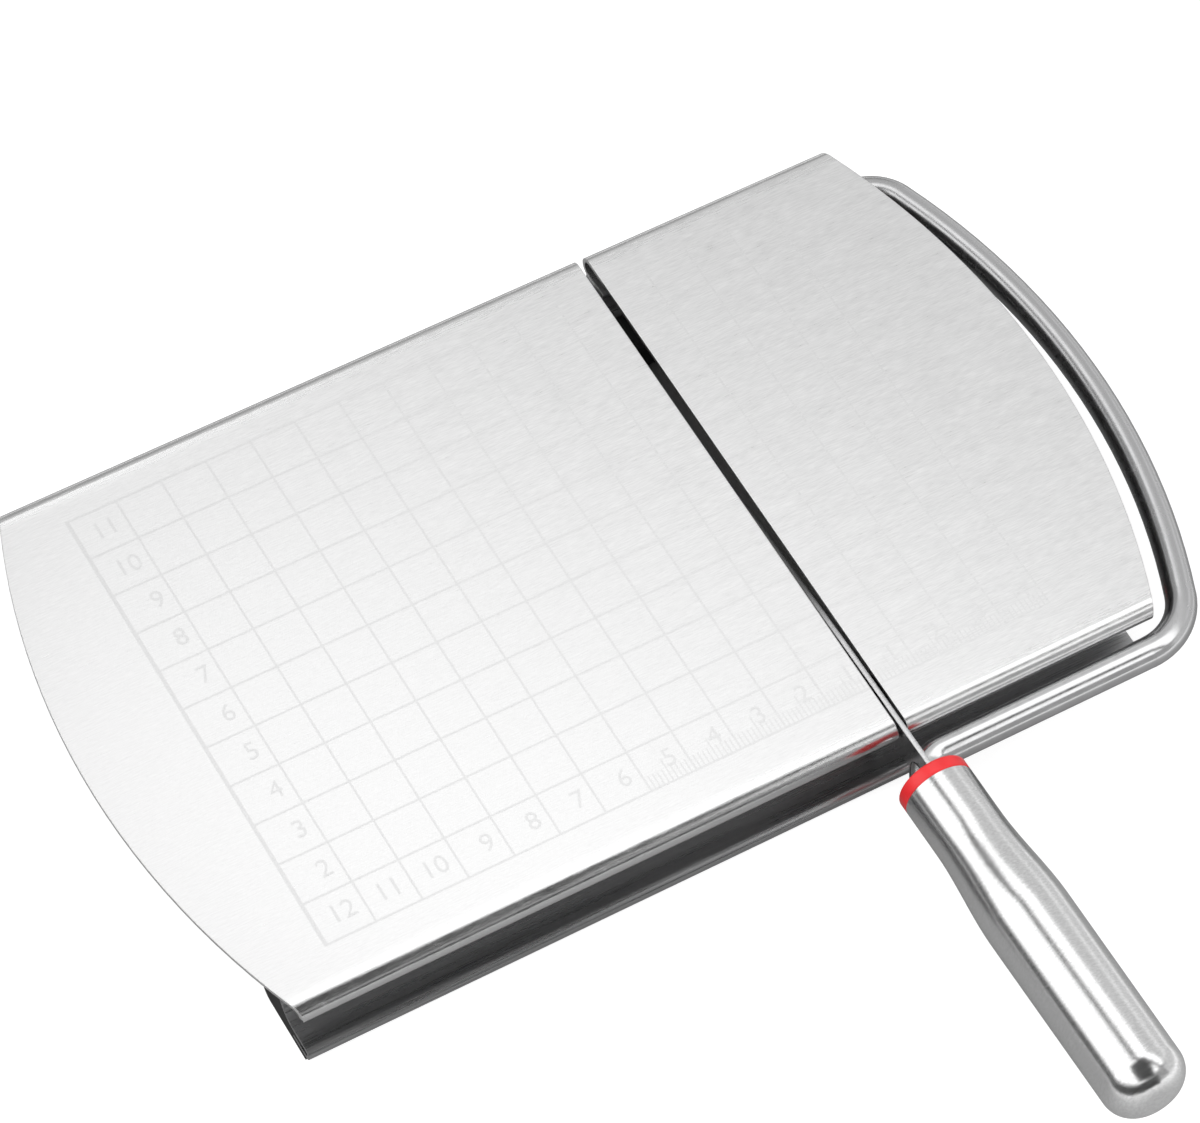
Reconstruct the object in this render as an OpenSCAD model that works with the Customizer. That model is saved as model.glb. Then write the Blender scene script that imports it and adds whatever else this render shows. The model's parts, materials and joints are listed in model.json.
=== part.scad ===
// Cheese slicer: a hemmed sheet steel board on two channel rails with rubber feet,
// and a bow arm that swings a serrated blade down through the board's slot.
// Origin: middle of the board's top face. +X towards the rod's bow, +Y towards the hinge, +Z up.
// u is a distance inwards from the board's long edge, s a distance from the hinge towards the handle.

/* [Board] */
// Length of the board between its corners
deck_l = 189; // [150:1:260]
// Width of the board over its rolled edges
deck_w = 130; // [110:1:180]
// How far the long (left) end bows out past its corners
bulge_left = 12.8; // [6:0.2:20]
// How far the short (right) end bows out past its corners
bulge_right = 12.8; // [6:0.2:20]
// Thickness of the board's sheet
deck_t = 0.9; // [0.6:0.1:1.2]
// Outer radius of the rolled long edges
hem_r = 2.65; // [2.2:0.05:3.5]
// Length of the flat return under each rolled edge
hem_return = 6; // [4.5:0.5:8]
// Place of the blade slot along the board
slot_x = 37.15; // [-10:0.05:45]
// Width of the blade slot
slot_w = 2.2; // [1.8:0.1:3]

/* [Rails] */
// Thickness of the rails' sheet
rail_t = 0.9; // [0.6:0.1:1.2]
// Outer radius of the rails' round back
rail_r = 6; // [5.8:0.1:7]
// Distance of the rails' round centre from the board's long edge
rail_depth = 6.4; // [6:0.1:8]
// Distance of the upper arm's edge from the board's long edge
rail_arm_edge = 1.6; // [1:0.1:2.5]
// Outer radius of the rolled lip on the lower arm
lip_r = 1.6; // [1.4:0.05:1.9]
// Length of the flat return under the lip
lip_return = 5; // [4:0.5:7]
// How far the rails stop short of the board's left corners
rail_inset_left = 0.8; // [0:0.1:4]
// How far the rails stop short of the board's right corners
rail_inset_right = 0.8; // [0:0.1:8]
// Clearance between the closed blade's edge and the slot's floor that it rests on
stop_gap = 0.3; // [0.2:0.05:0.5]

/* [Feet] */
// Thickness of the rubber under the rails' lip
sole_t = 1.4; // [0.6:0.1:2]
// Distance of the sole's outer edge from the board's long edge
foot_front = 1.7; // [1.7:0.1:3]
// Distance of the foot's inner face from the board's long edge
foot_back = 19.5; // [18.5:0.5:24]
// Height of the foot behind the rail
foot_h = 12; // [11.3:0.1:13.5]
// Radius of the foot's inner corners
foot_round = 3.5; // [2:0.5:4.5]
// Clearance between the rubber and the rail
foot_gap = 0.1; // [0.05:0.05:0.2]
// Width of the channel along the foot
channel_w = 3.4; // [2.6:0.1:3.6]
// Height of the channel along the foot
channel_h = 6.2; // [5:0.1:6.4]
// Height of the channel's middle above the table
channel_z = 7.9; // [7.5:0.1:8.1]
// Wall of rubber behind the channel
channel_wall = 1.9; // [1.5:0.1:2.2]
// Depth of the end plugs in the channel
plug_depth = 6; // [4:0.5:12]
// Clearance round the end plugs
plug_gap = 0.1; // [0.05:0.05:0.2]
// Width of the blade's notch in the rubber
notch_w = 3.2; // [2.8:0.1:5]
// Clearance between the blade and the floor of its notches
notch_clear = 0.5; // [0.4:0.1:0.8]

/* [Hinge bushes] */
// Length of each bush
bush_l = 10; // [8:0.5:12]
// Clearance between a bush and the rail
bush_gap = 0.1; // [0.05:0.05:0.2]
// Distance of the bushes' flat outer face from the board's long edge
bush_face = 1.8; // [1.5:0.1:2.2]
// Running clearance between the rod and a bush
bore_gap = 0.05; // [0.03:0.01:0.1]
// Distance of the left bush's middle from the slot
bush_left_offset = 17.5; // [14:0.5:20]
// Distance of the middle bush's middle from the slot
bush_middle_offset = 14.5; // [12:0.5:17]
// How far the right bush stops short of the rail's end
bush_end_inset = 0.8; // [0.5:0.1:3]
// Radius of the snap-in nubs
nub_r = 1.4; // [1:0.1:1.6]
// Clearance round the nubs in the rail's holes
nub_gap = 0.1; // [0.05:0.05:0.2]
// Distance of the nubs from the board's long edge
nub_inset = 4; // [3.8:0.1:4.4]
// How far the nubs stop short of the rail's outer faces
nub_short = 0.1; // [0.05:0.05:0.2]

/* [Rod] */
// Diameter of the rod
rod_d = 6.4; // [5.6:0.1:6.6]
// Gap between the rod and the middle of the board's bowed end
rod_gap = 5.7; // [3:0.1:8]
// Centre line radius of the rod's bow
bow_r = 157.5; // [140:0.5:180]
// Gap between the rod and the board's front edge
rod_front_gap = 1.3; // [1:0.1:4]
// Centre line radius of the bend between the hinge and the bow
far_r = 9; // [7:0.5:12]
// Centre line radius of the bend between the bow and the front
near_r = 14; // [8:0.5:16]
// Centre line radius of the bend into the handle
elbow_r = 6; // [5:0.5:8]
// Length of the rod beyond the slot, towards its free end
stub_l = 29.5; // [27:0.5:34]
// Length of the rod inside the handle
tail_l = 30; // [26:0.5:32]
// Angle at which the closed arm rises towards the handle
arm_tilt = 1.82; // [1.4:0.02:2.4]
// How much thicker the rod is in radius where it is bent
bend_swell = 0.02; // [0.02:0.01:0.05]
// How far the plain stretches reach into the bends
bend_lap = 0.3; // [0.2:0.1:0.4]

/* [Retaining rings] */
// Thickness of a ring
ring_t = 0.8; // [0.6:0.1:1]
// Outer radius of a ring
ring_r = 4.6; // [4.2:0.1:4.7]
// Depth of the rings' grooves in the rod
groove_depth = 0.6; // [0.4:0.1:0.8]
// Clearance of a ring in its groove and beside what it holds
ring_gap = 0.15; // [0.1:0.05:0.3]
// Width of a ring's mouth
ring_mouth = 4; // [3:0.1:5]

/* [Blade] */
// Thickness of the blade
blade_t = 1; // [0.8:0.1:1.2]
// Height of the blade's spine above the rod's centre line
blade_over = 7.3; // [5:0.1:7.3]
// Distance from the hinge at which the spine has risen to its height
spine_from = 100; // [12:1:112]
// Depth of the blade's edge below the rod's centre line
blade_under = 2.5; // [2.2:0.1:3]
// Outer radius of the eye round the rod
eye_r = 4.7; // [4.4:0.1:4.8]
// Spacing of the scallops along the edge
tooth_pitch = 4.5; // [3.5:0.5:7]
// Depth of the scallops
tooth_depth = 0.9; // [0.5:0.1:1.2]
// Flat left between two scallops
tooth_land = 0.3; // [0.2:0.1:0.8]
// Distance of the first scallop from the hinge
teeth_start = 14; // [13:0.5:20]
// Plain edge left between the last scallop and the heel
teeth_margin = 6; // [4:0.5:12]
// Height of the ground bevel
bevel_h = 2.2; // [1.6:0.1:3]
// Thickness left at the cutting edge
edge_t = 0.3; // [0.2:0.1:0.5]
// Rubbing clearance of the blade in the rod's saw cut, each side
saw_gap = 0.1; // [0.05:0.05:0.15]
// Rod left under the saw cut
saw_floor = 1.2; // [1:0.1:1.6]
// Distance of the cross pin behind the collar's face
pin_setback = 9; // [7:0.5:11]
// Length of blade behind the cross pin
pin_margin = 5; // [3.5:0.5:6]
// Diameter of the cross pin
pin_d = 2.5; // [2:0.1:2.8]
// Clearance round the cross pin
pin_gap = 0.05; // [0.03:0.01:0.1]

/* [Handle] */
// Diameter of the red collar
collar_d = 15; // [14.2:0.1:16]
// Thickness of the red collar
collar_t = 3; // [1.6:0.1:4]
// Rounding of the collar's edges
collar_round = 0.5; // [0.2:0.1:0.7]
// Gap between the elbow and the collar's face
collar_gap = 0.3; // [0:0.1:1]
// Height of the handle's axis above the rod's centre line
handle_rise = 2.7; // [1.8:0.1:2.8]
// Diameter of the handle's neck
neck_d = 15; // [14.4:0.1:15.8]
// Length of the neck
neck_l = 11; // [6:0.5:40]
// Length over which the handle widens
flare_l = 22; // [10:1:30]
// Diameter of the grip where it is widest
grip_d = 17.8; // [16:0.1:24]
// Diameter of the grip at its domed end
end_d = 17.5; // [16:0.1:24]
// Length of the grip behind its widest place
grip_l = 40; // [20:0.5:60]
// Rounding of the domed end
cap_l = 6; // [4:0.5:7.5]
// Thickness of the handle's tube
shell_t = 0.6; // [0.5:0.1:0.8]
// Length of the collar's plug inside the tube
plug_l = 34; // [33:1:40]
// Clearance between the plug and the tube
shell_gap = 0.1; // [0.05:0.05:0.2]

/* [Hidden] */
$fn = 96;
// Overrun of every cut
cut = 1;
// Steps along the handle's flare
FLARE_STEPS = 16;

// Board
half_l = deck_l / 2;
half_w = deck_w / 2;
end_r_left = (half_w * half_w + bulge_left * bulge_left) / (2 * bulge_left);
end_r_right = (half_w * half_w + bulge_right * bulge_right) / (2 * bulge_right);
end_x_left = -half_l - bulge_left + end_r_left;
end_x_right = half_l + bulge_right - end_r_right;
slot_from = slot_x - slot_w / 2;
slot_to = slot_x + slot_w / 2;

// Heights, down from the board's top face
hem_z = -2 * hem_r;
pivot_z = hem_z - rail_r;
lower_arm_z = pivot_z - rail_r;
lip_z = lower_arm_z + rail_t - lip_r;
lip_low_z = lip_z - lip_r;
table_z = lip_low_z - sole_t;

// Rails, feet and hinge
rail_from = -half_l + rail_inset_left;
rail_to = half_l - rail_inset_right;
pivot_y = half_w - rail_depth;
rod_r = rod_d / 2;
bore_r = rod_r + bore_gap;
bush_r = rail_r - rail_t - bush_gap;
channel_u = foot_back - channel_wall - channel_w / 2;

// Arm, in its own plane: s runs from the hinge to the handle, as -Y
bow_s = pivot_y;
bow_x = half_l + bulge_right + rod_gap + rod_r - bow_r;
front_s = pivot_y + half_w + rod_front_gap + rod_r;
far_bend_x = bow_x + sqrt(pow(bow_r - far_r, 2) - pow(bow_s - far_r, 2));
near_bend_s = front_s - near_r;
near_bend_x = bow_x + sqrt(pow(bow_r - near_r, 2) - pow(near_bend_s - bow_s, 2));
far_angle = atan2(bow_s - far_r, far_bend_x - bow_x);
near_angle = -atan2(near_bend_s - bow_s, near_bend_x - bow_x);
bow_lap = atan(bend_lap / bow_r);
elbow_x = slot_x + elbow_r;
elbow_s = front_s + elbow_r;
collar_s = elbow_s + collar_gap;
tail_s = elbow_s + tail_l;

// Blade
heel_s = front_s - rod_r;
pin_s = collar_s + pin_setback;
blade_end_s = pin_s + pin_margin;
slit_w = blade_t + 2 * saw_gap;
slit_end_s = blade_end_s + saw_gap;
saw_depth = rod_r - saw_floor;
tail_under = saw_depth - stop_gap;
tooth_chord = tooth_pitch - tooth_land;
tooth_r = (tooth_chord * tooth_chord / 4 + tooth_depth * tooth_depth) / (2 * tooth_depth);
tooth_count = floor((heel_s - teeth_margin - teeth_start) / tooth_pitch);

// Rings: two hold the left bush between them, two hold the blade's eye
bush_half = bush_l / 2 + ring_gap + ring_t / 2;
eye_half = blade_t / 2 + ring_gap + ring_t / 2;
ring_places = [
    slot_x - bush_left_offset - bush_half,
    slot_x - bush_left_offset + bush_half,
    slot_x - eye_half,
    slot_x + eye_half
];

// Handle
shell_l = neck_l + flare_l + grip_l + cap_l;
plug_r = neck_d / 2 - shell_t - shell_gap;

// Height of the closed blade's edge at a distance s from the hinge
function edge_z(s) = pivot_z - blade_under * cos(arm_tilt) + s * sin(arm_tilt);

// Radius of the handle's tube a share a of the way along its flare
function smooth(a) = a * a * (3 - 2 * a);
function flare_r(a) = (neck_d + (grip_d - neck_d) * smooth(a)) / 2;

// Draws an outline of (u, z) along X, at the front edge of the board
module along_front(from, to) {
    translate([from, -half_w, 0])
        rotate([90, 0, 90])
            linear_extrude(to - from)
                children();
}

// The same at either edge
module along_edge(rear, from, to) {
    mirror([0, rear ? 1 : 0, 0])
        along_front(from, to)
            children();
}

// Turns the arm from its own flat plane to its closed place on the hinge
module closed_arm() {
    translate([0, pivot_y, pivot_z])
        rotate([-arm_tilt, 0, 0])
            children();
}

// Puts what is drawn along Z on the handle's axis, from the collar's face
module on_handle(behind) {
    translate([slot_x, -collar_s - behind, handle_rise])
        rotate([90, 0, 0])
            children();
}

// Half of a rolled sheet edge, open towards +u
module roll(r, t) {
    difference() {
        circle(r);
        circle(r - t);
        translate([0, -r - cut])
            square([r + cut, 2 * (r + cut)]);
    }
}

// Section of the board with its front edge; the rear edge is this section's mirror image
module deck_section() {
    translate([hem_r, -deck_t])
        square([deck_w - 2 * hem_r, deck_t]);
    translate([hem_r, -hem_r])
        roll(hem_r, deck_t);
    translate([hem_r, hem_z])
        square([hem_return, deck_t]);
}

// Plan between two bowed ends, whose circles have their centres at y
module bowed_plan(y) {
    intersection() {
        square([deck_l + 2 * max(bulge_left, bulge_right) + cut, deck_w + cut], center = true);
        translate([end_x_left, y])
            circle(end_r_left, $fn = 360);
        translate([end_x_right, y])
            circle(end_r_right, $fn = 360);
    }
}

// Takes back the ends of a hem's return: folded under, the blank's bowed outline slants inwards
module return_end_cut(rear) {
    mirror([0, rear ? 1 : 0, 0])
        translate([0, 0, hem_z - cut])
            linear_extrude(hem_r + cut)
                difference() {
                    translate([-half_l - bulge_left - cut, -half_w - cut])
                        square([deck_l + bulge_left + bulge_right + 2 * cut, hem_r + hem_return + 2 * cut]);
                    bowed_plan(-deck_w);
                }
}

module deck_plate(from, to) {
    difference() {
        intersection() {
            union() {
                along_edge(false, from, to)
                    deck_section();
                along_edge(true, from, to)
                    deck_section();
            }
            translate([0, 0, hem_z - cut])
                linear_extrude(2 * hem_r + 2 * cut)
                    bowed_plan(0);
        }
        return_end_cut(false);
        return_end_cut(true);
    }
}

module deck_left() {
    color("gainsboro")
        deck_plate(-half_l - bulge_left - cut, slot_from);
}

module deck_right() {
    color("gainsboro")
        deck_plate(slot_to, half_l + bulge_right + cut);
}

// Section of a rail: upper arm, round back, lower arm, rolled lip and its return
module rail_section() {
    translate([rail_arm_edge, hem_z - rail_t])
        square([rail_depth - rail_arm_edge, rail_t]);
    translate([rail_depth, pivot_z])
        mirror([1, 0])
            roll(rail_r, rail_t);
    translate([lip_r, lower_arm_z])
        square([rail_depth - lip_r, rail_t]);
    translate([lip_r, lip_z])
        roll(lip_r, rail_t);
    translate([lip_r, lip_low_z])
        square([lip_return, rail_t]);
}

// Room for the blade above floor_z, across one edge of the board
module blade_gap(rear, width, floor_z) {
    along_edge(rear, slot_x - width / 2, slot_x + width / 2)
        translate([-cut, floor_z])
            square([foot_back + 2 * cut, cut - floor_z]);
}

module rail(rear, floor_z) {
    difference() {
        along_edge(rear, rail_from, rail_to)
            rail_section();
        blade_gap(rear, slot_w, floor_z);
    }
}

module front_rail() {
    color("silver")
        rail(false, edge_z(pivot_y + half_w - rail_depth - rail_r) - stop_gap);
}

// Places of the three bushes
function bush_x(i) = [
    slot_x - bush_left_offset,
    slot_x + bush_middle_offset,
    rail_to - bush_end_inset - bush_l / 2
][i];

module rear_rail() {
    color("silver")
        difference() {
            rail(true, edge_z(0) - notch_clear);
            for (i = [0 : 2])
                translate([bush_x(i), half_w - nub_inset, lower_arm_z - cut])
                    cylinder(r = nub_r + nub_gap, h = 2 * rail_r + 2 * cut);
        }
}

// Channel along a foot, or the plug in it
module channel_section(gap) {
    round_r = channel_w / 2 - gap;
    flat_h = channel_h - channel_w;
    translate([channel_u, table_z + channel_z]) {
        square([2 * round_r, flat_h], center = true);
        translate([0, flat_h / 2])
            circle(round_r);
        translate([0, -flat_h / 2])
            circle(round_r);
    }
}

// Rubber strip: a sole under the lip, a tongue over its return and a block behind the rail
module foot_section() {
    inner_u = foot_back - foot_round;
    difference() {
        translate([0, table_z]) {
            translate([foot_front, 0])
                square([inner_u - foot_front, foot_h]);
            translate([foot_front, foot_round])
                square([foot_back - foot_front, foot_h - 2 * foot_round]);
            translate([inner_u, foot_round])
                circle(foot_round);
            translate([inner_u, foot_h - foot_round])
                circle(foot_round);
        }
        translate([rail_depth, pivot_z])
            circle(rail_r + foot_gap);
        translate([-cut, lower_arm_z - foot_gap])
            square([rail_depth + cut, 2 * rail_r]);
        translate([lip_r, lip_z])
            circle(lip_r + foot_gap);
        translate([-cut, lip_low_z - foot_gap])
            square([cut + lip_r + lip_return + foot_gap, rail_t + 2 * foot_gap]);
        channel_section(0);
    }
}

module foot(rear, floor_z) {
    difference() {
        along_edge(rear, rail_from, rail_to)
            foot_section();
        blade_gap(rear, notch_w, floor_z);
    }
}

module front_foot() {
    color("dimgray")
        foot(false, edge_z(pivot_y + half_w - foot_back) - notch_clear);
}

module rear_foot() {
    color("dimgray")
        foot(true, edge_z(0) - notch_clear);
}

module foot_plug(rear, right) {
    from = right ? rail_to - plug_depth : rail_from;
    color("crimson")
        along_edge(rear, from, from + plug_depth)
            channel_section(plug_gap);
}

module foot_plug_front_left() {
    foot_plug(false, false);
}

module foot_plug_front_right() {
    foot_plug(false, true);
}

module foot_plug_rear_left() {
    foot_plug(true, false);
}

module foot_plug_rear_right() {
    foot_plug(true, true);
}

// Half-round plastic bearing, pressed into the rail from outside and held by two nubs
module bush(x) {
    color("black")
        difference() {
            union() {
                along_edge(true, x - bush_l / 2, x + bush_l / 2) {
                    translate([rail_depth, pivot_z])
                        circle(bush_r);
                    translate([bush_face, pivot_z - bush_r])
                        square([rail_depth - bush_face, 2 * bush_r]);
                }
                translate([x, half_w - nub_inset, pivot_z - rail_r + nub_short])
                    cylinder(r = nub_r, h = 2 * (rail_r - nub_short));
            }
            translate([x - bush_l / 2 - cut, pivot_y, pivot_z])
                rotate([0, 90, 0])
                    cylinder(r = bore_r, h = bush_l + 2 * cut);
        }
}

module bush_left() {
    bush(bush_x(0));
}

module bush_middle() {
    bush(bush_x(1));
}

module bush_right() {
    bush(bush_x(2));
}

// Straight stretch of rod along X, at a distance s from the hinge
module rod_along_x(s, from, to) {
    translate([from, -s, 0])
        rotate([0, 90, 0])
            cylinder(r = rod_r, h = to - from);
}

// Arc of rod round a centre
module rod_arc(x, s, r, from, to, swell) {
    translate([x, -s, 0])
        rotate([0, 0, from])
            rotate_extrude(angle = to - from)
                translate([r, 0])
                    circle(rod_r + swell);
}

// Bend, slightly swollen, that takes in the ends of the stretches beside it
module rod_bend(x, s, r, from, to) {
    rod_arc(x, s, r, from, to, bend_swell);
}

// Cut round the rod for one ring
module ring_groove(x) {
    width = ring_t + ring_gap;
    translate([x - width / 2, 0, 0])
        rotate([0, 90, 0])
            difference() {
                cylinder(r = rod_r + cut, h = width);
                translate([0, 0, -cut])
                    cylinder(r = rod_r - groove_depth, h = width + 2 * cut);
            }
}

module arm_rod() {
    color("lightsteelblue")
        closed_arm()
            difference() {
                union() {
                    rod_along_x(0, slot_x - stub_l, far_bend_x + bend_lap);
                    rod_bend(far_bend_x, far_r, far_r, far_angle, 90);
                    rod_arc(bow_x, bow_s, bow_r, near_angle - bow_lap, far_angle + bow_lap, 0);
                    rod_bend(near_bend_x, near_bend_s, near_r, -90, near_angle);
                    rod_along_x(front_s, elbow_x - bend_lap, near_bend_x + bend_lap);
                    rod_bend(elbow_x, elbow_s, elbow_r, 90, 180);
                    translate([slot_x, bend_lap - elbow_s, 0])
                        rotate([90, 0, 0])
                            cylinder(r = rod_r, h = tail_l + bend_lap);
                }
                for (x = ring_places)
                    ring_groove(x);
                translate([slot_x - slit_w / 2, -slit_end_s, -saw_depth])
                    cube([slit_w, slit_end_s - heel_s + cut, rod_d + cut]);
                pin_bore();
            }
}

// Open spring ring, seen along the rod
module retaining_rings() {
    color("slategray")
        closed_arm()
            for (x = ring_places)
                translate([x - ring_t / 2, 0, 0])
                    rotate([90, 0, 90])
                        linear_extrude(ring_t)
                            difference() {
                                circle(ring_r);
                                circle(rod_r - groove_depth + ring_gap);
                                translate([0, -ring_mouth / 2])
                                    square([ring_r + cut, ring_mouth]);
                            }
}

// Outline of the blade as (s, height above the rod's centre line)
module blade_section() {
    step = blade_under - tail_under;
    difference() {
        union() {
            circle(eye_r);
            polygon([
                [0, -blade_under],
                [heel_s - step, -blade_under],
                [heel_s, -tail_under],
                [blade_end_s, -tail_under],
                [blade_end_s, blade_over],
                [spine_from, blade_over],
                [0, eye_r]
            ]);
        }
        circle(bore_r);
        for (i = [0 : tooth_count - 1])
            translate([teeth_start + (i + 0.5) * tooth_pitch, tooth_depth - blade_under - tooth_r])
                circle(tooth_r);
        translate([pin_s, 0])
            circle(pin_d / 2 + pin_gap);
    }
}

// Wedge that grinds one side of the edge, from the teeth to the heel
module bevel_cut() {
    lean = (blade_t - edge_t) / bevel_h;
    translate([slot_x, -teeth_start, 0])
        rotate([90, 0, 0])
            linear_extrude(tooth_count * tooth_pitch)
                polygon([
                    [edge_t - blade_t / 2 - lean * cut, -blade_under - cut],
                    [blade_t / 2 + lean * cut, bevel_h - blade_under + cut],
                    [blade_t / 2 + lean * cut, -blade_under - cut]
                ]);
}

module blade() {
    color("lightgray")
        closed_arm()
            difference() {
                translate([slot_x + blade_t / 2, 0, 0])
                    rotate([90, 0, -90])
                        linear_extrude(blade_t)
                            blade_section();
                bevel_cut();
            }
}

// Hole through the rod's tail and the plug for the cross pin
module pin_bore() {
    translate([slot_x - collar_d, -pin_s, 0])
        rotate([0, 90, 0])
            cylinder(r = pin_d / 2 + pin_gap, h = 2 * collar_d);
}

// Cross pin, as long as the plug is wide at that height
module blade_pin() {
    half = sqrt(plug_r * plug_r - pow(handle_rise + pin_d / 2, 2));
    color("gray")
        closed_arm()
            translate([slot_x - half, -pin_s, 0])
                rotate([0, 90, 0])
                    cylinder(r = pin_d / 2, h = 2 * half);
}

// Half section of the collar, with rounded edges, and its plug
module plug_section() {
    collar_r = collar_d / 2;
    square([collar_r - collar_round, collar_t]);
    translate([0, collar_round])
        square([collar_r, collar_t - 2 * collar_round]);
    translate([collar_r - collar_round, collar_round])
        circle(collar_round);
    translate([collar_r - collar_round, collar_t - collar_round])
        circle(collar_round);
    square([plug_r, collar_t + plug_l]);
}

module collar_plug() {
    color("red")
        closed_arm()
            difference() {
                on_handle(0)
                    rotate_extrude()
                        plug_section();
                translate([slot_x, -collar_s + cut, 0])
                    rotate([90, 0, 0])
                        cylinder(r = bore_r, h = cut + tail_s - collar_s + collar_gap);
                translate([slot_x - slit_w / 2, -slit_end_s, 0])
                    cube([slit_w, slit_end_s - collar_s + cut, blade_over + saw_gap]);
                pin_bore();
            }
}

// Half section of the handle as a solid bar, its outline moved inwards by wall
module grip_section(wall) {
    cap_t = shell_l - cap_l;
    cap_r = end_d / 2 - cap_l;
    polygon([
        [0, 0],
        [neck_d / 2 - wall, 0],
        for (i = [0 : FLARE_STEPS])
            [flare_r(i / FLARE_STEPS) - wall, neck_l + flare_l * i / FLARE_STEPS],
        [end_d / 2 - wall, cap_t],
        [0, cap_t]
    ]);
    translate([0, cap_t]) {
        square([cap_r, cap_l - wall]);
        intersection() {
            translate([cap_r, 0])
                circle(cap_l - wall);
            square([end_d / 2, cap_l]);
        }
    }
}

module handle_tube() {
    color("silver")
        closed_arm()
            on_handle(collar_t)
                rotate_extrude()
                    difference() {
                        grip_section(0);
                        grip_section(shell_t);
                    }
}

deck_left();
deck_right();
front_rail();
rear_rail();
front_foot();
rear_foot();
foot_plug_front_left();
foot_plug_front_right();
foot_plug_rear_left();
foot_plug_rear_right();
bush_left();
bush_middle();
bush_right();
arm_rod();
retaining_rings();
blade();
blade_pin();
collar_plug();
handle_tube();
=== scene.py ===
"""Looks, studio and camera for a cheese slicer: a brushed board with a hinged bow arm."""

import json
import math

import bmesh
import bpy
from mathutils import Matrix, Vector

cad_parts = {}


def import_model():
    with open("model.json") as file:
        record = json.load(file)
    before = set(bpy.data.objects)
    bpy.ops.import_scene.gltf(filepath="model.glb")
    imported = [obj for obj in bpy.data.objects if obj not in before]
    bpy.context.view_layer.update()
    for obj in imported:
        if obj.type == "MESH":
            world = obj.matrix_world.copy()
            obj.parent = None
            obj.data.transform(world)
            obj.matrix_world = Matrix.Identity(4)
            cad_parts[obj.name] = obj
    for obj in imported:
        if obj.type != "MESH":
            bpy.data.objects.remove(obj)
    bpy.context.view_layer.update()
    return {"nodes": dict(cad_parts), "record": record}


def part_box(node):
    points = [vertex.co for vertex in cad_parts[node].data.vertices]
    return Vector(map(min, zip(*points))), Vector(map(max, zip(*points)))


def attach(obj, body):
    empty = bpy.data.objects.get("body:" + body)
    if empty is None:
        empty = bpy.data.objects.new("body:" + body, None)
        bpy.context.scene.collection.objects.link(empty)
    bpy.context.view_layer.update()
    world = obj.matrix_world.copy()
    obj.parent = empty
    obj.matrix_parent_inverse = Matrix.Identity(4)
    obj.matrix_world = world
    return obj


MM = 0.001

# Finishes that change over a piece: the board is smoother in its rolled edges, the rod satin in its bow with
# painted shade darkening its colour there, and the blade's upward faces darkened by painted shade but for the
# front
FINE_SHARE = 0.75
ROLL_FROM = 59.5 * MM
ROLL_TO = 63 * MM
ROLL_POLISH = 0.09
BOW_FROM = 92 * MM
BOW_TO = 106 * MM
# painted shade: the darker colour of the rod's bow
BOW_SHADE_COLOR = (0.54, 0.54, 0.545)
BOW_DULLING = 0.08
SPINE_FACING = 0.7
# painted shade: the dark colour of the blade's upward faces, and where it sets in
SPINE_SHADE_COLOR = (0.13, 0.13, 0.13)
SHADED_SPINE_FROM = -44 * MM
SHADED_SPINE_TO = -24 * MM

# How far the sharp edges of the board and the blade look rounded
DECK_EASE = 0.3 * MM
BLADE_EASE = 0.6 * MM

# Where most of a noise's values lie
NOISE_LOW = 0.3
NOISE_HIGH = 0.7

# Camera, fitted to the engraved grid
PHOTO_WIDTH = 1200
SENSOR_WIDTH = 36.0
FOCAL_PX = 5922.8
CAMERA_AT = Vector((-323.86, -561.82, 973.25)) * MM
CAMERA_AIM = Vector((4.34, -2.74, 0)) * MM
CAMERA_ROLL = math.radians(1.37)
CLIP_END = 20

# Studio: soft boxes in the ceiling, as (from, to) across the seam between them, (from, to) along it
# and radiance, and one at the right, all on top of an even fill
CEILING_HEIGHT = 0.70
SEAM_TURN = math.radians(38)
BOXES = {
    "left_box": ((-1.6, 0.0), (-1.1, 2.3), 0.95),
    "middle_box": ((0.13, 0.435), (-1.1, 0.40), 1.0),
    "right_box": ((0.435, 2.0), (-1.1, 0.60), 0.22),
}
SIDE_PLACE = (1.2, 0, 0.35)
SIDE_SIZE = (0.7, 2.4)
SIDE_RADIANCE = 0.25
WATTS_PER_RADIANCE = 4
FILL_RADIANCE = 0.4

# Floor: a grey that a glow lifts to white, but not under the board, where leaving it off paints a shadow, and
# faded in near reflections, which paints shade round the board
FLOOR_SIZE = 6.0
FLOOR_GREY = 0.36
FLOOR_GLOW = 0.85
GLOW_FROM = 0.13
GLOW_TO = 0.30
SHADE_HALF = (0.070, 0.048)
SHADE_EDGE = 0.014

# Dark flags that only reflections see: a low wall round the left and the front of the board, a card
# over its front edge and a bar in the seam
WALL_GREY = 0.06
WALL_RADIUS = 0.30
WALL_HEIGHT = 0.09
WALL_FROM = math.radians(110)
WALL_TO = math.radians(288)
WALL_STEPS = 36
CARD_GREY = 0.03
CARD_HEIGHT = 0.68
CARD_CORNERS = ((-0.35, 0.03), (0.21, 0.03), (0.40, -1.3), (-0.50, -1.3))
SEAM_BAR = ((0.01, 0.12), (-1.1, 2.3))

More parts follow.
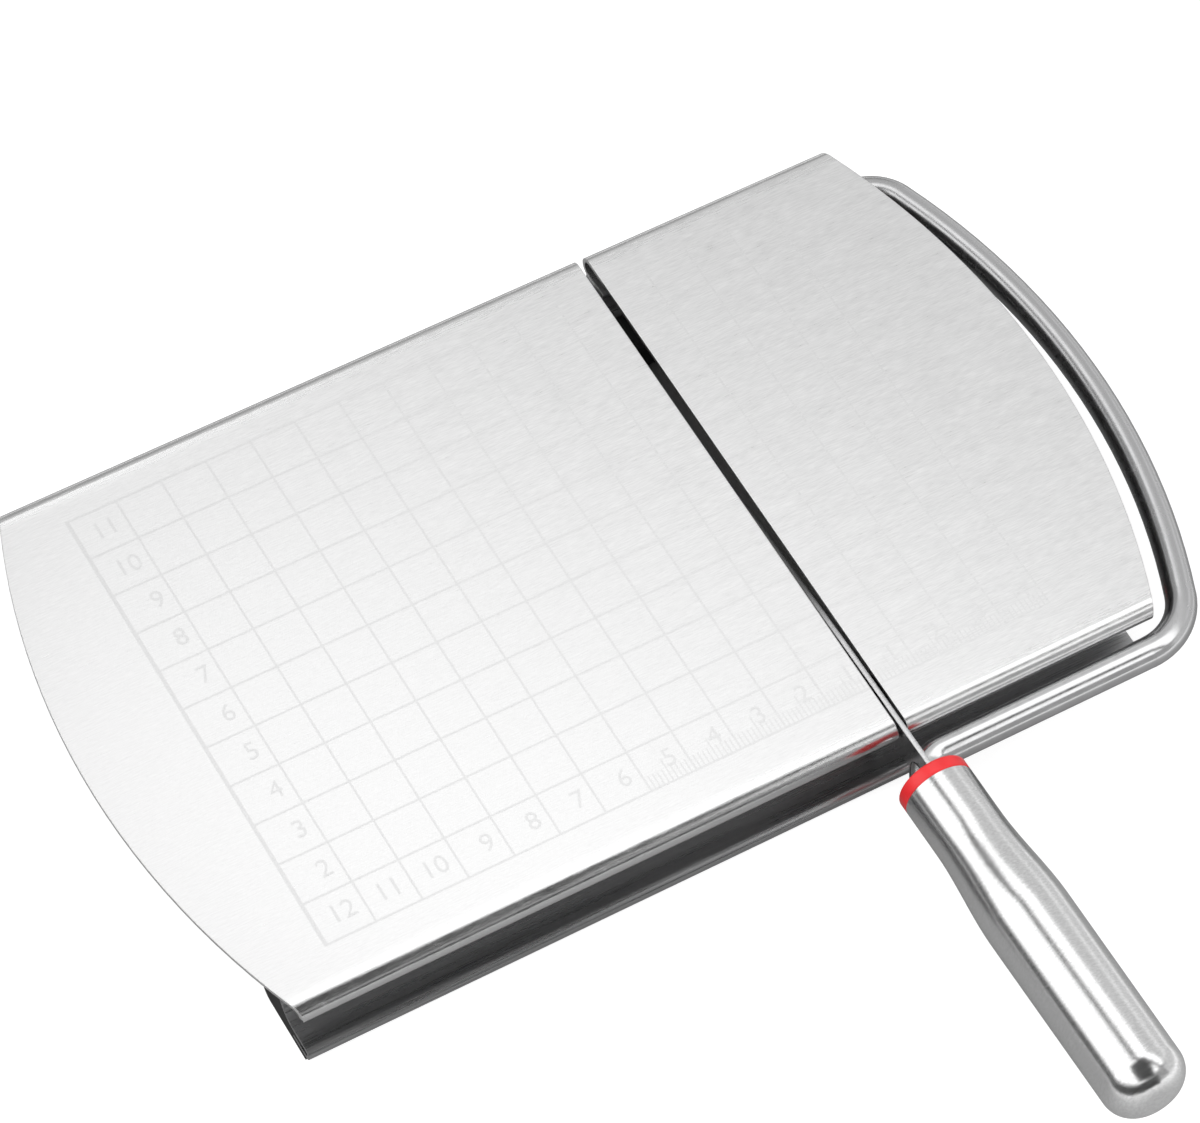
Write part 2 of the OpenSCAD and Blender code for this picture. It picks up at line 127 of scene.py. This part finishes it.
# Engraving on the board: a grid of centimetre squares, numbered from the slot and from the near edge,
# and a fine scale along that edge
PITCH = 10 * MM
COLUMNS = 16
ROWS = 11
GRID_LEFT = -82.9 * MM
GRID_LOW = -53.85 * MM
BORDER_X = -83.7 * MM
BORDER_WIDTH = 0.85 * MM
LINE_WIDTH = 0.45 * MM
SLOT_COLUMN = 12
SLOT_MARGIN = 1.2 * MM
RULER_FROM = 7
TICK_STEP = 1 * MM
TICK_WIDTH = 0.3 * MM
TICK_HEIGHT = 3.3 * MM
HALF_TICK_HEIGHT = 5.4 * MM
LIFTS = {"row": 0.006 * MM, "column": 0.008 * MM, "tick": 0.010 * MM, "border": 0.012 * MM}
DIGIT_DEPTH = 0.028 * MM
DIGIT_HEIGHT = 4.2 * MM
DIGIT_MARGIN = 1.8 * MM
DIGIT_SHARE = 0.73
DIGIT_CURVE_STEPS = 3


class Network:
    """The nodes of one material or world, and short calls that add some."""

    def __init__(self, owner):
        owner.use_nodes = True
        self.nodes = owner.node_tree.nodes
        self.links = owner.node_tree.links

    def add(self, kind, settings):
        """A node with its settings: sockets, by name or number, get a value or a link."""
        node = self.nodes.new(kind)
        for name, value in settings.items():
            if isinstance(name, str) and name not in node.inputs:
                setattr(node, name, value)
            elif isinstance(value, bpy.types.NodeSocket):
                self.links.new(value, node.inputs[name])
            else:
                node.inputs[name].default_value = value
        return node

    def own(self, output):
        """The object's own coordinates in metres, or its own normals."""
        return self.add("ShaderNodeTexCoord", {}).outputs[output]

    def split(self, vector):
        """X, Y and Z of a vector."""
        return self.add("ShaderNodeSeparateXYZ", {"Vector": vector}).outputs

    def join(self, operation, *values):
        """Values joined by a maths operation."""
        settings = {"operation": operation, **dict(enumerate(values))}
        return self.add("ShaderNodeMath", settings).outputs["Value"]

    def ramp(self, value, start, end):
        """0 up to the start and 1 from the end, smooth between them."""
        settings = {"interpolation_type": "SMOOTHSTEP", "Value": value, "From Min": start, "From Max": end}
        return self.add("ShaderNodeMapRange", settings).outputs["Result"]


class Surface(Network):
    """A material with one Principled shader, and short calls for what drives it."""

    def __init__(self, name, color, metallic, roughness):
        self.material = bpy.data.materials.new(name)
        super().__init__(self.material)
        self.shader = self.nodes["Principled BSDF"]
        self.color = color
        self.shader.inputs["Base Color"].default_value = (*color, 1)
        self.shader.inputs["Metallic"].default_value = metallic
        self.shader.inputs["Roughness"].default_value = roughness

    def drive(self, socket, value):
        self.links.new(value, self.shader.inputs[socket])

    def noise(self, cells, detail=2.0, roughness=0.5):
        """Noise with a given number of cells per metre along each axis."""
        place = self.add("ShaderNodeMapping", {"Vector": self.own("Object"), "Scale": cells})
        settings = {"Scale": 1.0, "Detail": detail, "Roughness": roughness, "Vector": place.outputs["Vector"]}
        return self.add("ShaderNodeTexNoise", settings).outputs["Fac"]

    def remap(self, value, low, high):
        """Most of a noise's range spread from low to high."""
        settings = {"From Min": NOISE_LOW, "From Max": NOISE_HIGH, "To Min": low, "To Max": high}
        return self.add("ShaderNodeMapRange", {"Value": value, **settings}).outputs["Result"]

    def mix(self, value, a, b):
        """Colour that goes from a to b as the value goes from 0 to 1."""
        settings = {"data_type": "RGBA", "Factor": value, "A": a, "B": b}
        return self.add("ShaderNodeMix", settings).outputs["Result"]

    def shade(self, value, dark, light):
        """Base colour that goes from dark to light times the surface's colour."""
        low = (*(c * dark for c in self.color), 1)
        high = (*(min(c * light, 1) for c in self.color), 1)
        self.drive("Base Color", self.mix(self.remap(value, 0, 1), low, high))

    def tint(self, value, color):
        """Base colour that goes over to another one as the value goes from 0 to 1."""
        shaded = self.shader.inputs["Base Color"].links[0].from_socket
        self.drive("Base Color", self.mix(value, shaded, (*color, 1)))

    def rough(self, value, low, high):
        self.drive("Roughness", self.remap(value, low, high))

    def eased(self, radius):
        """Normals that look rounded over sharp edges."""
        return self.add("ShaderNodeBevel", {"Radius": radius}).outputs["Normal"]

    def bump(self, value, depth, normal=None):
        """Relief of a given depth in metres, on other normals if they are given."""
        settings = {"Height": value, "Distance": depth}
        if normal:
            settings["Normal"] = normal
        self.drive("Normal", self.add("ShaderNodeBump", settings).outputs["Normal"])


def brushed_deck():
    """Board steel, brushed along its length, with eased edges."""
    s = Surface("brushed_deck", color=(0.80, 0.80, 0.80), metallic=1.0, roughness=0.32)
    fine = s.noise(cells=(330, 3600, 3600), detail=3.0, roughness=0.6)
    broad = s.noise(cells=(90, 420, 420))
    grain = s.join("ADD", s.join("MULTIPLY", fine, FINE_SHARE), s.join("MULTIPLY", broad, 1 - FINE_SHARE))
    s.shade(grain, dark=0.88, light=1.08)
    rolled = s.ramp(s.join("ABSOLUTE", s.split(s.own("Object"))["Y"]), ROLL_FROM, ROLL_TO)
    uneven = s.remap(grain, low=0.27, high=0.37)
    s.drive("Roughness", s.join("ADD", uneven, s.join("MULTIPLY", rolled, -ROLL_POLISH)))
    s.bump(fine, depth=0.012 * MM, normal=s.eased(DECK_EASE))
    return s.material


def etched():
    """Dull engraving in the board."""
    s = Surface("etched", color=(0.77, 0.77, 0.77), metallic=1.0, roughness=0.4)
    grain = s.noise(cells=(900, 3600, 3600))
    s.shade(grain, dark=0.93, light=1.06)
    s.rough(grain, low=0.34, high=0.44)
    return s.material


def drawn_sheet():
    """Bright folded sheet of the rails."""
    s = Surface("drawn_sheet", color=(0.47, 0.47, 0.475), metallic=1.0, roughness=0.3)
    grain = s.noise(cells=(40, 2600, 2600), detail=3.0)
    s.shade(grain, dark=0.92, light=1.05)
    s.rough(grain, low=0.24, high=0.36)
    s.bump(grain, depth=0.006 * MM)
    return s.material


def polished_rod():
    """Polished round bar, blotched by the polishing, and satin in the bow, where a darker colour is painted
    shade.
    """
    s = Surface("polished_rod", color=(0.70, 0.70, 0.705), metallic=1.0, roughness=0.1)
    blotch = s.noise(cells=(260, 260, 260), detail=4.0, roughness=0.6)
    bow = s.ramp(s.split(s.own("Object"))["X"], BOW_FROM, BOW_TO)
    s.shade(blotch, dark=0.93, light=1.04)
    # painted shade: the bow's colour goes darker; its duller roughness below is the satin finish
    s.tint(bow, BOW_SHADE_COLOR)
    uneven = s.remap(blotch, low=0.14, high=0.22)
    s.drive("Roughness", s.join("ADD", uneven, s.join("MULTIPLY", bow, BOW_DULLING)))
    s.bump(blotch, depth=0.01 * MM)
    return s.material


def turned_tube():
    """Handle steel, brushed round its axis."""
    s = Surface("turned_tube", color=(0.76, 0.76, 0.762), metallic=1.0, roughness=0.2)
    rings = s.noise(cells=(120, 5200, 120), detail=3.0, roughness=0.6)
    speck = s.noise(cells=(1300, 3200, 1300), detail=3.0, roughness=0.6)
    s.shade(speck, dark=0.90, light=1.07)
    s.rough(rings, low=0.16, high=0.26)
    s.bump(rings, depth=0.006 * MM)
    return s.material


def ground_blade():
    """Blade steel, ground across its length, with an eased spine darkened by painted shade but for the front.
    """
    s = Surface("ground_blade", color=(0.70, 0.70, 0.705), metallic=1.0, roughness=0.4)
    lines = s.noise(cells=(200, 4200, 200), detail=3.0, roughness=0.6)
    spine = s.join("GREATER_THAN", s.split(s.own("Normal"))["Z"], SPINE_FACING)
    behind = s.ramp(s.split(s.own("Object"))["Y"], SHADED_SPINE_FROM, SHADED_SPINE_TO)
    s.shade(lines, dark=0.9, light=1.05)
    # painted shade: the spine's upward faces go dark behind the front, where the slot shades them
    s.tint(s.join("MULTIPLY", spine, behind), SPINE_SHADE_COLOR)
    s.rough(lines, low=0.16, high=0.28)
    s.bump(lines, depth=0.006 * MM, normal=s.eased(BLADE_EASE))
    return s.material


def spring_steel():
    """Plain grey steel of the small fittings."""
    s = Surface("spring_steel", color=(0.42, 0.42, 0.43), metallic=1.0, roughness=0.35)
    blotch = s.noise(cells=(900, 900, 900), detail=3.0)
    s.shade(blotch, dark=0.85, light=1.1)
    s.rough(blotch, low=0.28, high=0.45)
    return s.material


def black_rubber():
    """Matt black rubber, dusty and with a fine mould texture."""
    s = Surface("black_rubber", color=(0.018, 0.018, 0.018), metallic=0.0, roughness=0.62)
    pebble = s.noise(cells=(2600, 2600, 2600), detail=3.0)
    dust = s.noise(cells=(120, 120, 120), detail=3.0)
    s.shade(dust, dark=0.8, light=1.5)
    s.rough(dust, low=0.54, high=0.7)
    s.bump(pebble, depth=0.03 * MM)
    return s.material


def black_plastic():
    """Black moulded plastic of the bearings."""
    s = Surface("black_plastic", color=(0.022, 0.022, 0.023), metallic=0.0, roughness=0.42)
    pebble = s.noise(cells=(1800, 1800, 1800))
    s.shade(pebble, dark=0.85, light=1.3)
    s.rough(pebble, low=0.36, high=0.5)
    s.bump(pebble, depth=0.02 * MM)
    return s.material


def red_plastic():
    """Glossy red plastic, slightly uneven like a moulding."""
    s = Surface("red_plastic", color=(0.82, 0.025, 0.03), metallic=0.0, roughness=0.3)
    swirl = s.noise(cells=(160, 160, 160))
    fine = s.noise(cells=(2200, 2200, 2200))
    s.shade(swirl, dark=0.9, light=1.08)
    s.rough(swirl, low=0.25, high=0.36)
    s.bump(fine, depth=0.008 * MM)
    return s.material


FINISHES = {
    "deck_steel": brushed_deck,
    "rail_steel": drawn_sheet,
    "foot_rubber": black_rubber,
    "plug_plastic": red_plastic,
    "bush_plastic": black_plastic,
    "rod_steel": polished_rod,
    "ring_steel": spring_steel,
    "blade_steel": ground_blade,
    "collar_plastic": red_plastic,
    "handle_steel": turned_tube,
}


def finish_nodes(frame):
    """Gives every CAD node the finish of its material slot."""
    made = {}
    for part in frame["record"]["subparts"]:
        make = FINISHES[part["material_slot"]]
        if make not in made:
            made[make] = make()
        materials = frame["nodes"][part["node"]].data.materials
        materials.clear()
        materials.append(made[make])


def link(piece):
    bpy.context.scene.collection.objects.link(piece)
    return piece


def mesh_piece(name, mesh):
    """A piece made of a finished bmesh."""
    data = bpy.data.meshes.new(name)
    mesh.to_mesh(data)
    mesh.free()
    return link(bpy.data.objects.new(name, data))


def add_box(mesh, x0, x1, y0, y1, lift):
    """Adds one thin bar of engraving, as high over the board's top face as it is deep in it."""
    corners = [
        mesh.verts.new((x, y, z))
        for z in (-lift, lift)
        for x, y in ((x0, y0), (x1, y0), (x1, y1), (x0, y1))
    ]
    low, high = corners[:4], corners[4:]
    mesh.faces.new(reversed(low))
    mesh.faces.new(high)
    for i in range(4):
        j = (i + 1) % 4
        mesh.faces.new((low[i], low[j], high[j], high[i]))


def column_x(column):
    return GRID_LEFT + column * PITCH


def row_y(row):
    return GRID_LOW + row * PITCH


def engraved_lines():
    """The grid, its thick left border and the fine scale at the near edge."""
    mesh = bmesh.new()
    slot = column_x(SLOT_COLUMN)
    low, high = row_y(0), row_y(ROWS)
    half = LINE_WIDTH / 2
    border = (BORDER_X - BORDER_WIDTH / 2, BORDER_X + BORDER_WIDTH / 2)
    add_box(mesh, *border, low - half, high + half, LIFTS["border"])
    for column in range(1, COLUMNS + 1):
        if column != SLOT_COLUMN:
            x = column_x(column)
            add_box(mesh, x - half, x + half, low - half, high + half, LIFTS["column"])
    for row in range(ROWS + 1):
        y = row_y(row)
        add_box(mesh, BORDER_X, slot - SLOT_MARGIN, y - half, y + half, LIFTS["row"])
        add_box(mesh, slot + SLOT_MARGIN, column_x(COLUMNS) + half, y - half, y + half, LIFTS["row"])
    steps = round(PITCH / TICK_STEP)
    for step in range(RULER_FROM * steps, COLUMNS * steps):
        x = GRID_LEFT + step * TICK_STEP
        if step % steps and abs(x - slot) > SLOT_MARGIN:
            height = TICK_HEIGHT if step % (steps // 2) else HALF_TICK_HEIGHT
            add_box(mesh, x - TICK_WIDTH / 2, x + TICK_WIDTH / 2, low, low + height, LIFTS["tick"])
    return mesh_piece("engraved_lines", mesh)


def engraved_number(number, column, row):
    """One number, right-aligned in its square."""
    text = bpy.data.curves.new(f"number_{number}", "FONT")
    text.body = str(number)
    text.align_x = "RIGHT"
    text.align_y = "CENTER"
    text.size = DIGIT_HEIGHT / DIGIT_SHARE
    text.extrude = DIGIT_DEPTH / 2
    text.resolution_u = DIGIT_CURVE_STEPS
    piece = link(bpy.data.objects.new(f"number_{number}", text))
    piece.location = (column_x(column + 1) - DIGIT_MARGIN, row_y(row + 0.5), 0)
    return piece


def engraved_numbers():
    """Centimetres from the near edge up the left column, and from the slot along the near row."""
    places = [(row + 1, 0, row) for row in range(1, ROWS)]
    places += [(SLOT_COLUMN - column, column, 0) for column in range(SLOT_COLUMN)]
    places += [(column + 1 - SLOT_COLUMN, column, 0) for column in range(SLOT_COLUMN, COLUMNS)]
    pieces = [engraved_number(*place) for place in places]
    bpy.ops.object.select_all(action="DESELECT")
    for piece in pieces:
        piece.select_set(True)
    bpy.context.view_layer.objects.active = pieces[0]
    bpy.ops.object.convert(target="MESH")
    bpy.ops.object.join()
    joined = bpy.context.view_layer.objects.active
    joined.name = "engraved_numbers"
    joined.data.transform(joined.matrix_world)
    joined.matrix_world = Matrix.Identity(4)
    return joined


def engrave():
    material = etched()
    for piece in (engraved_lines(), engraved_numbers()):
        piece.data.materials.clear()
        piece.data.materials.append(material)
        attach(piece, "base")


def floor_material():
    """Grey floor with a glow: to the camera everywhere but in a box under the board, where leaving it off
    paints a shadow, and in reflections only far off, which paints shade on the floor near the board."""
    material = bpy.data.materials.new("floor")
    net = Network(material)
    net.nodes.clear()
    path = net.add("ShaderNodeLightPath", {}).outputs
    place = net.own("Object")
    away = net.add("ShaderNodeVectorMath", {"operation": "LENGTH", 0: place}).outputs["Value"]
    size = net.add("ShaderNodeVectorMath", {"operation": "ABSOLUTE", 0: place}).outputs["Vector"]
    half = net.split(size)
    past_x = net.join("SUBTRACT", half["X"], SHADE_HALF[0])
    past_y = net.join("SUBTRACT", half["Y"], SHADE_HALF[1])
    # painted shadow: no glow in a box under the board
    bare = net.ramp(net.join("MAXIMUM", past_x, past_y), 0, SHADE_EDGE)
    seen = net.join("MULTIPLY", path["Is Camera Ray"], bare)
    # painted shade: reflections see the floor darker near the board
    mirrored = net.join("MULTIPLY", path["Is Glossy Ray"], net.ramp(away, GLOW_FROM, GLOW_TO))
    part = net.join("MAXIMUM", seen, mirrored)
    glow = net.add("ShaderNodeEmission", {"Color": part, "Strength": FLOOR_GLOW}).outputs["Emission"]
    grey = (FLOOR_GREY, FLOOR_GREY, FLOOR_GREY, 1)
    paper = net.add("ShaderNodeBsdfDiffuse", {"Color": grey}).outputs["BSDF"]
    total = net.add("ShaderNodeAddShader", {0: paper, 1: glow}).outputs["Shader"]
    net.add("ShaderNodeOutputMaterial", {"Surface": total})
    return material


def floor(height):
    bpy.ops.mesh.primitive_plane_add(size=FLOOR_SIZE, location=(0, 0, height))
    piece = bpy.context.object
    piece.name = "floor"
    piece.data.materials.append(floor_material())


def flag(name, faces, grey):
    """A dark sheet that only reflections see, made of faces given by their corners."""
    mesh = bmesh.new()
    for corners in faces:
        mesh.faces.new([mesh.verts.new(corner) for corner in corners])
    piece = mesh_piece(name, mesh)
    piece.data.materials.append(Surface(name, (grey, grey, grey), metallic=0.0, roughness=1.0).material)
    piece.visible_camera = False
    piece.visible_diffuse = False
    piece.visible_shadow = False


def ceiling_point(across, along):
    """Point of the ceiling at given distances across and along the seam."""
    x = across * math.cos(SEAM_TURN) - along * math.sin(SEAM_TURN)
    y = across * math.sin(SEAM_TURN) + along * math.cos(SEAM_TURN)
    return x, y, CEILING_HEIGHT


def wall_faces(table):
    """Upright strips round part of a circle."""
    turns = [WALL_FROM + (WALL_TO - WALL_FROM) * k / WALL_STEPS for k in range(WALL_STEPS + 1)]
    feet = [(WALL_RADIUS * math.cos(turn), WALL_RADIUS * math.sin(turn), table) for turn in turns]
    tops = [(x, y, z + WALL_HEIGHT) for x, y, z in feet]
    return [(feet[k], feet[k + 1], tops[k + 1], tops[k]) for k in range(WALL_STEPS)]


def flags(table):
    (u0, u1), (v0, v1) = SEAM_BAR
    seam = [ceiling_point(u, v) for u, v in ((u0, v0), (u1, v0), (u1, v1), (u0, v1))]
    card = [(*corner, CARD_HEIGHT) for corner in CARD_CORNERS]
    flag("wall_flag", wall_faces(table), WALL_GREY)
    flag("card_flag", [card], CARD_GREY)
    flag("seam_flag", [seam], CARD_GREY)


def soft_box(name, size, radiance, place, turn):
    """A rectangular soft light that reflections see and the camera doesn't."""
    data = bpy.data.lights.new(name, "AREA")
    data.shape = "RECTANGLE"
    data.size, data.size_y = size
    data.energy = radiance * WATTS_PER_RADIANCE * size[0] * size[1]
    piece = link(bpy.data.objects.new(name, data))
    piece.location = place
    piece.rotation_euler = turn
    piece.visible_camera = False


def lamps():
    for name, ((u0, u1), (v0, v1), radiance) in BOXES.items():
        place = ceiling_point((u0 + u1) / 2, (v0 + v1) / 2)
        soft_box(name, (u1 - u0, v1 - v0), radiance, place, (0, 0, SEAM_TURN))
    soft_box("side_box", SIDE_SIZE, SIDE_RADIANCE, SIDE_PLACE, (0, math.pi / 2, 0))


def world():
    """Even fill from all round, and white behind everything."""
    studio_world = bpy.data.worlds.new("studio")
    bpy.context.scene.world = studio_world
    net = Network(studio_world)
    net.nodes.clear()
    seen = net.add("ShaderNodeLightPath", {}).outputs["Is Camera Ray"]
    level = net.add("ShaderNodeMapRange", {"Value": seen, "To Min": FILL_RADIANCE, "To Max": 1.0})
    settings = {"Color": (1, 1, 1, 1), "Strength": level.outputs["Result"]}
    background = net.add("ShaderNodeBackground", settings).outputs["Background"]
    net.add("ShaderNodeOutputWorld", {"Surface": background})


def studio():
    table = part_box("front_foot")[0].z
    floor(table)
    flags(table)
    lamps()
    world()


def camera():
    data = bpy.data.cameras.new("camera")
    data.sensor_fit = "HORIZONTAL"
    data.sensor_width = SENSOR_WIDTH
    data.lens = FOCAL_PX / PHOTO_WIDTH * SENSOR_WIDTH
    data.clip_end = CLIP_END
    piece = link(bpy.data.objects.new("camera", data))
    facing = (CAMERA_AIM - CAMERA_AT).to_track_quat("-Z", "Y")
    turn = facing.to_matrix().to_4x4() @ Matrix.Rotation(CAMERA_ROLL, 4, "Z")
    piece.matrix_world = Matrix.Translation(CAMERA_AT) @ turn
    bpy.context.scene.camera = piece


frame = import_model()
camera()
finish_nodes(frame)
engrave()
studio()
bpy.context.scene.view_settings.view_transform = "Standard"
